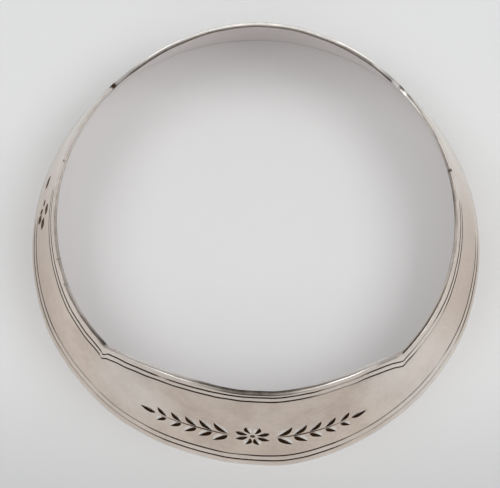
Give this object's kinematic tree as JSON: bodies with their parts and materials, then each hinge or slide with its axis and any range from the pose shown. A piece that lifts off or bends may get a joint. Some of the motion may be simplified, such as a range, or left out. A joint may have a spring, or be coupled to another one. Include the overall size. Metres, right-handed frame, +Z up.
{
  "type": "decanter label",
  "caption": "Conical silver neck ring that drops over a decanter's neck and stands on its shoulder, with an arched label plate, a matching back plate and engraved border lines.",
  "frame": {"origin": "centre of the ring on the flat surface that its foot edge stands on", "axes": "+Z up through the ring, the label plate faces -Y, +X is to the right of someone who reads the label"},
  "size_m": [0.084, 0.084, 0.0243],
  "materials": {
    "silver": "hand-worn silver with a soft satin polish and a faint warm patina, darker in the engraved lines",
    "solder": "silver solder, filed nearly flush and tarnished darker than the sheet"
  },
  "bodies": {
    "root": {"front_label_band": "silver", "back_band": "silver", "left_solder_seam": "solder", "right_solder_seam": "solder"}
  },
  "joints": []
}
